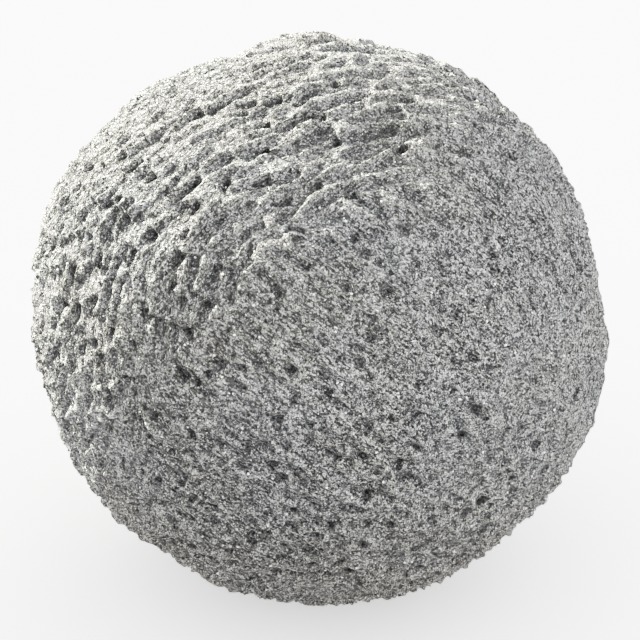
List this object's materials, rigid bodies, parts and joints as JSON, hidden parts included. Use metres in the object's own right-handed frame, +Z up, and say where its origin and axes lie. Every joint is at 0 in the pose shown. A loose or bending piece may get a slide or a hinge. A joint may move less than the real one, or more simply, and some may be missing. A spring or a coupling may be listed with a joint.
{
  "type": "stone ball",
  "caption": "Solid hand-dressed ball of grey volcanic stone with chisel furrows, on a small flat bed that keeps it from rolling.",
  "frame": {"origin": "bottom centre of the ball's outline, on the bed that it stands on", "axes": "+Z up, square to the bed; X and Y level"},
  "size_m": [0.364, 0.3584, 0.3537],
  "materials": {
    "grey_stone": "dressed with a point chisel, unpolished, dry"
  },
  "bodies": {
    "root": {"stone_ball": "grey_stone"}
  },
  "joints": []
}
